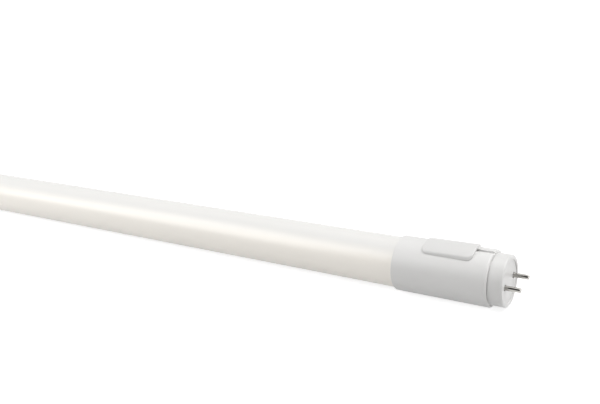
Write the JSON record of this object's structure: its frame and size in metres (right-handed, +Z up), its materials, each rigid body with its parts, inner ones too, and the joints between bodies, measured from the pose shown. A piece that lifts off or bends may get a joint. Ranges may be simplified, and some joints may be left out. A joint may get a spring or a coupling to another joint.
{
  "type": "led tube lamp",
  "caption": "Milky glass LED tube lamp with turning end caps, sliding lock buttons on the end housings, and contact pins at both ends.",
  "frame": {"origin": "on the floor under the middle of the lamp, which lies on its end housings with the lock buttons up", "axes": "+X along the lamp towards the near end (the one with the driver), +Y along the line of the pins, +Z up through the lock buttons"},
  "size_m": [0.604, 0.0282, 0.0295],
  "materials": {
    "milky_glass": "glossy outside, milky diffusing coat inside",
    "housing_plastic": "satin moulded polycarbonate, white",
    "cap_plastic": "satin moulded polycarbonate, white",
    "button_plastic": "satin moulded polycarbonate, white",
    "ring_plastic": "plain moulded, white",
    "pin_metal": "bright nickel plate",
    "strip_metal": "white solder mask over metal core",
    "led_package": "yellow phosphor in a white package",
    "silicone": "soft translucent white",
    "board_laminate": "green solder mask",
    "lead_sleeve": "soft sleeve",
    "resistor_lacquer": "blue lacquer",
    "chip_resin": "black moulding resin",
    "film_case": "yellow potted case",
    "ferrite": "dark sintered ferrite",
    "winding_wire": "enamelled copper",
    "can_sleeve": "shrink sleeve over aluminium can"
  },
  "bodies": {
    "tube": {"glass_tube": "milky_glass", "near_housing": "housing_plastic", "far_housing": "housing_plastic", "led_board": "strip_metal", "led_chips": "led_package", "board_glue": "silicone", "driver_board": "board_laminate", "near_pin_leads": "lead_sleeve", "strip_header": "pin_metal", "fuse_resistor": "resistor_lacquer", "bridge_rectifier": "chip_resin", "driver_chip": "chip_resin", "film_capacitor": "film_case", "transformer_core": "ferrite", "transformer_coil": "winding_wire", "bulk_capacitor": "can_sleeve"},
    "near_cap": {"near_end_cap": "cap_plastic", "near_lock_ring": "ring_plastic", "near_front_pin": "pin_metal", "near_back_pin": "pin_metal"},
    "near_lock": {"near_lock_slider": "button_plastic"},
    "far_cap": {"far_end_cap": "cap_plastic", "far_lock_ring": "ring_plastic", "far_front_pin": "pin_metal", "far_back_pin": "pin_metal", "far_pin_link": "pin_metal"},
    "far_lock": {"far_lock_slider": "button_plastic"}
  },
  "joints": [
    {"name": "near_cap_turn", "type": "hinge", "parent": "tube", "child": "near_cap", "pos_m": [0.2949, 0, 0.0141], "axis": [1, 0, 0], "range_deg": [-90, 90], "deforming": ["near_pin_leads"]},
    {"name": "near_lock_slide", "type": "slide", "parent": "tube", "child": "near_lock", "axis": [1, 0, 0], "range_m": [0, 0.005]},
    {"name": "far_cap_turn", "type": "hinge", "parent": "tube", "child": "far_cap", "pos_m": [-0.2949, 0, 0.0141], "axis": [-1, 0, 0], "range_deg": [-90, 90]},
    {"name": "far_lock_slide", "type": "slide", "parent": "tube", "child": "far_lock", "axis": [-1, 0, 0], "range_m": [0, 0.005]}
  ]
}
